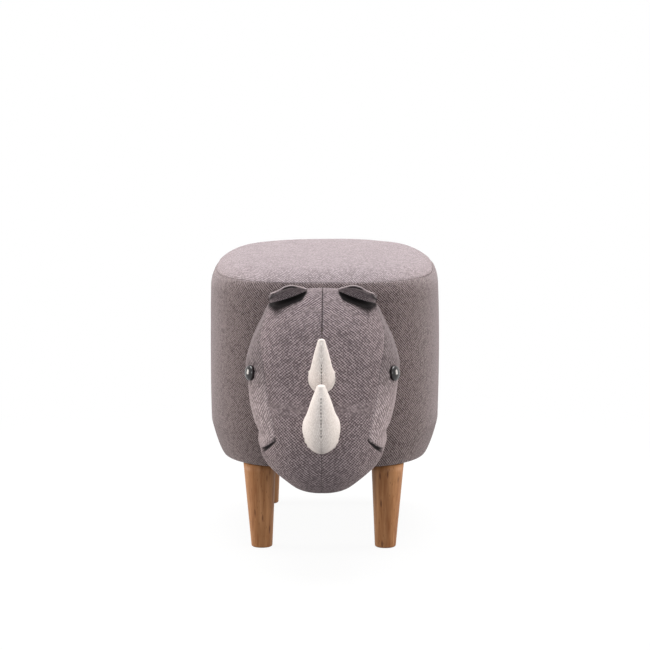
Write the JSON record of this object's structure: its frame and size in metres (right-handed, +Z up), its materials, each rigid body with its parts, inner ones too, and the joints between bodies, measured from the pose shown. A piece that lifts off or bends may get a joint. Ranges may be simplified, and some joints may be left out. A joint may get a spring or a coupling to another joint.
{
  "type": "animal footstool",
  "caption": "Upholstered rhinoceros footstool: padded oblong body on tapered beech legs, stuffed head with ears, glossy eyes and cream cloth horns.",
  "frame": {"origin": "on the floor, under the middle of the whole stool's bounding box", "axes": "+Z up, the head looks along -Y, +X to the right for someone who looks at the face from the front"},
  "size_m": [0.307, 0.6238, 0.38],
  "materials": {
    "upholstery_twill": "mauve-grey twill weave, matt, diagonal wales",
    "ear_twill": "the same twill, a shade darker",
    "horn_twill": "cream polyester twill, matt, sewn centre seam",
    "beech_wood": "turned beech, satin lacquer, fine flecks",
    "eye_gloss": "polished black dome",
    "zinc_steel": "zinc plated",
    "plywood": "raw plywood",
    "pine_frame": "sawn pine",
    "foam": "open-cell polyurethane foam",
    "polyester_fill": "loose polyester fibre",
    "dust_cloth": "black spun-bonded cloth"
  },
  "bodies": {
    "root": {"leg_front_right": "beech_wood", "leg_bolt_front_right": "zinc_steel", "tee_nut_front_right": "zinc_steel", "post_front_right": "pine_frame", "base_screw_front_right": "zinc_steel", "top_screw_front_right": "zinc_steel", "leg_front_left": "beech_wood", "leg_bolt_front_left": "zinc_steel", "tee_nut_front_left": "zinc_steel", "post_front_left": "pine_frame", "base_screw_front_left": "zinc_steel", "top_screw_front_left": "zinc_steel", "leg_rear_right": "beech_wood", "leg_bolt_rear_right": "zinc_steel", "tee_nut_rear_right": "zinc_steel", "post_rear_right": "pine_frame", "base_screw_rear_right": "zinc_steel", "top_screw_rear_right": "zinc_steel", "leg_rear_left": "beech_wood", "leg_bolt_rear_left": "zinc_steel", "tee_nut_rear_left": "zinc_steel", "post_rear_left": "pine_frame", "base_screw_rear_left": "zinc_steel", "top_screw_rear_left": "zinc_steel", "head_batten": "pine_frame", "head_backing": "plywood", "head_bolt_lower": "zinc_steel", "head_nut_lower": "zinc_steel", "head_bolt_upper": "zinc_steel", "head_nut_upper": "zinc_steel", "base_board": "plywood", "top_board": "plywood", "wall_shell": "plywood", "side_foam": "foam", "seat_foam": "foam", "side_cover": "upholstery_twill", "top_cover": "upholstery_twill", "dust_cover": "dust_cloth", "eye_right": "eye_gloss", "eye_left": "eye_gloss", "eye_washer_right": "zinc_steel", "eye_washer_left": "zinc_steel", "head_stuffing": "polyester_fill", "face_right": "upholstery_twill", "cheek_right": "upholstery_twill", "face_left": "upholstery_twill", "cheek_left": "upholstery_twill", "ear_lining_right": "ear_twill", "ear_outer_right": "ear_twill", "ear_lining_left": "ear_twill", "ear_outer_left": "ear_twill", "front_horn_right": "horn_twill", "front_horn_left": "horn_twill", "front_horn_stuffing": "polyester_fill", "rear_horn_right": "horn_twill", "rear_horn_left": "horn_twill", "rear_horn_stuffing": "polyester_fill", "tail": "upholstery_twill"}
  },
  "joints": []
}
